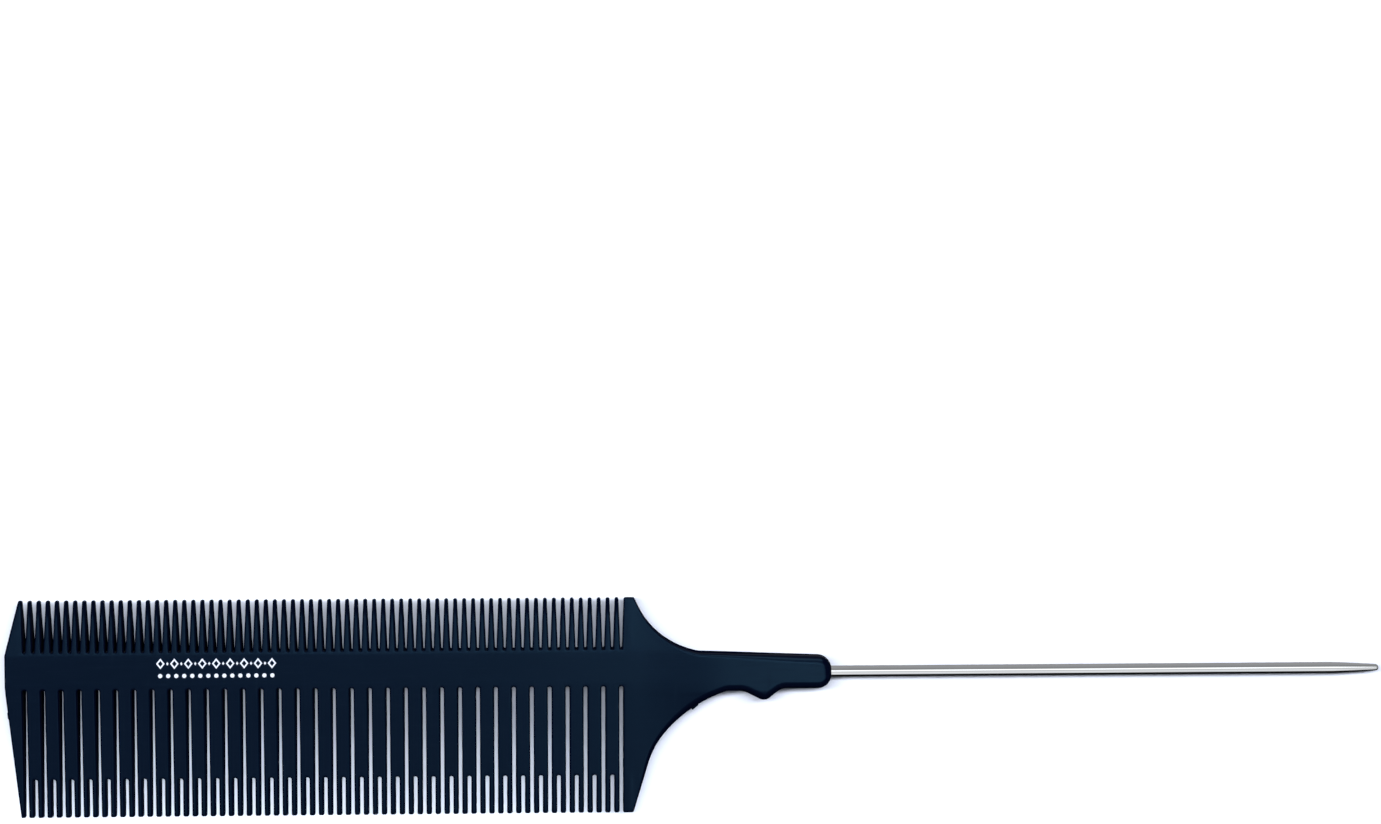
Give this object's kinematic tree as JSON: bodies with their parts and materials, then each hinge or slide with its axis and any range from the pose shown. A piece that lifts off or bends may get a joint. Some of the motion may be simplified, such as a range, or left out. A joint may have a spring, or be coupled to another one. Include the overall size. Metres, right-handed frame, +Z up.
{
  "type": "rat tail comb",
  "caption": "Double-sided styling comb with fine teeth on one edge, wide forked teeth on the other, a short moulded grip and a straight metal sectioning tail.",
  "frame": {"origin": "middle of the bounding box, on its bottom face, so the comb lies flat on the XY plane", "axes": "+X along the comb towards the tip of the metal tail, +Y across the comb towards the fine teeth, +Z up out of the printed face"},
  "size_m": [0.2448, 0.0386, 0.0046],
  "materials": {
    "comb_resin": "satin",
    "tail_steel": "polished",
    "white_ink": "satin"
  },
  "bodies": {
    "root": {"comb_body": "comb_resin", "tail_pin": "tail_steel", "printed_mark": "white_ink"}
  },
  "joints": []
}
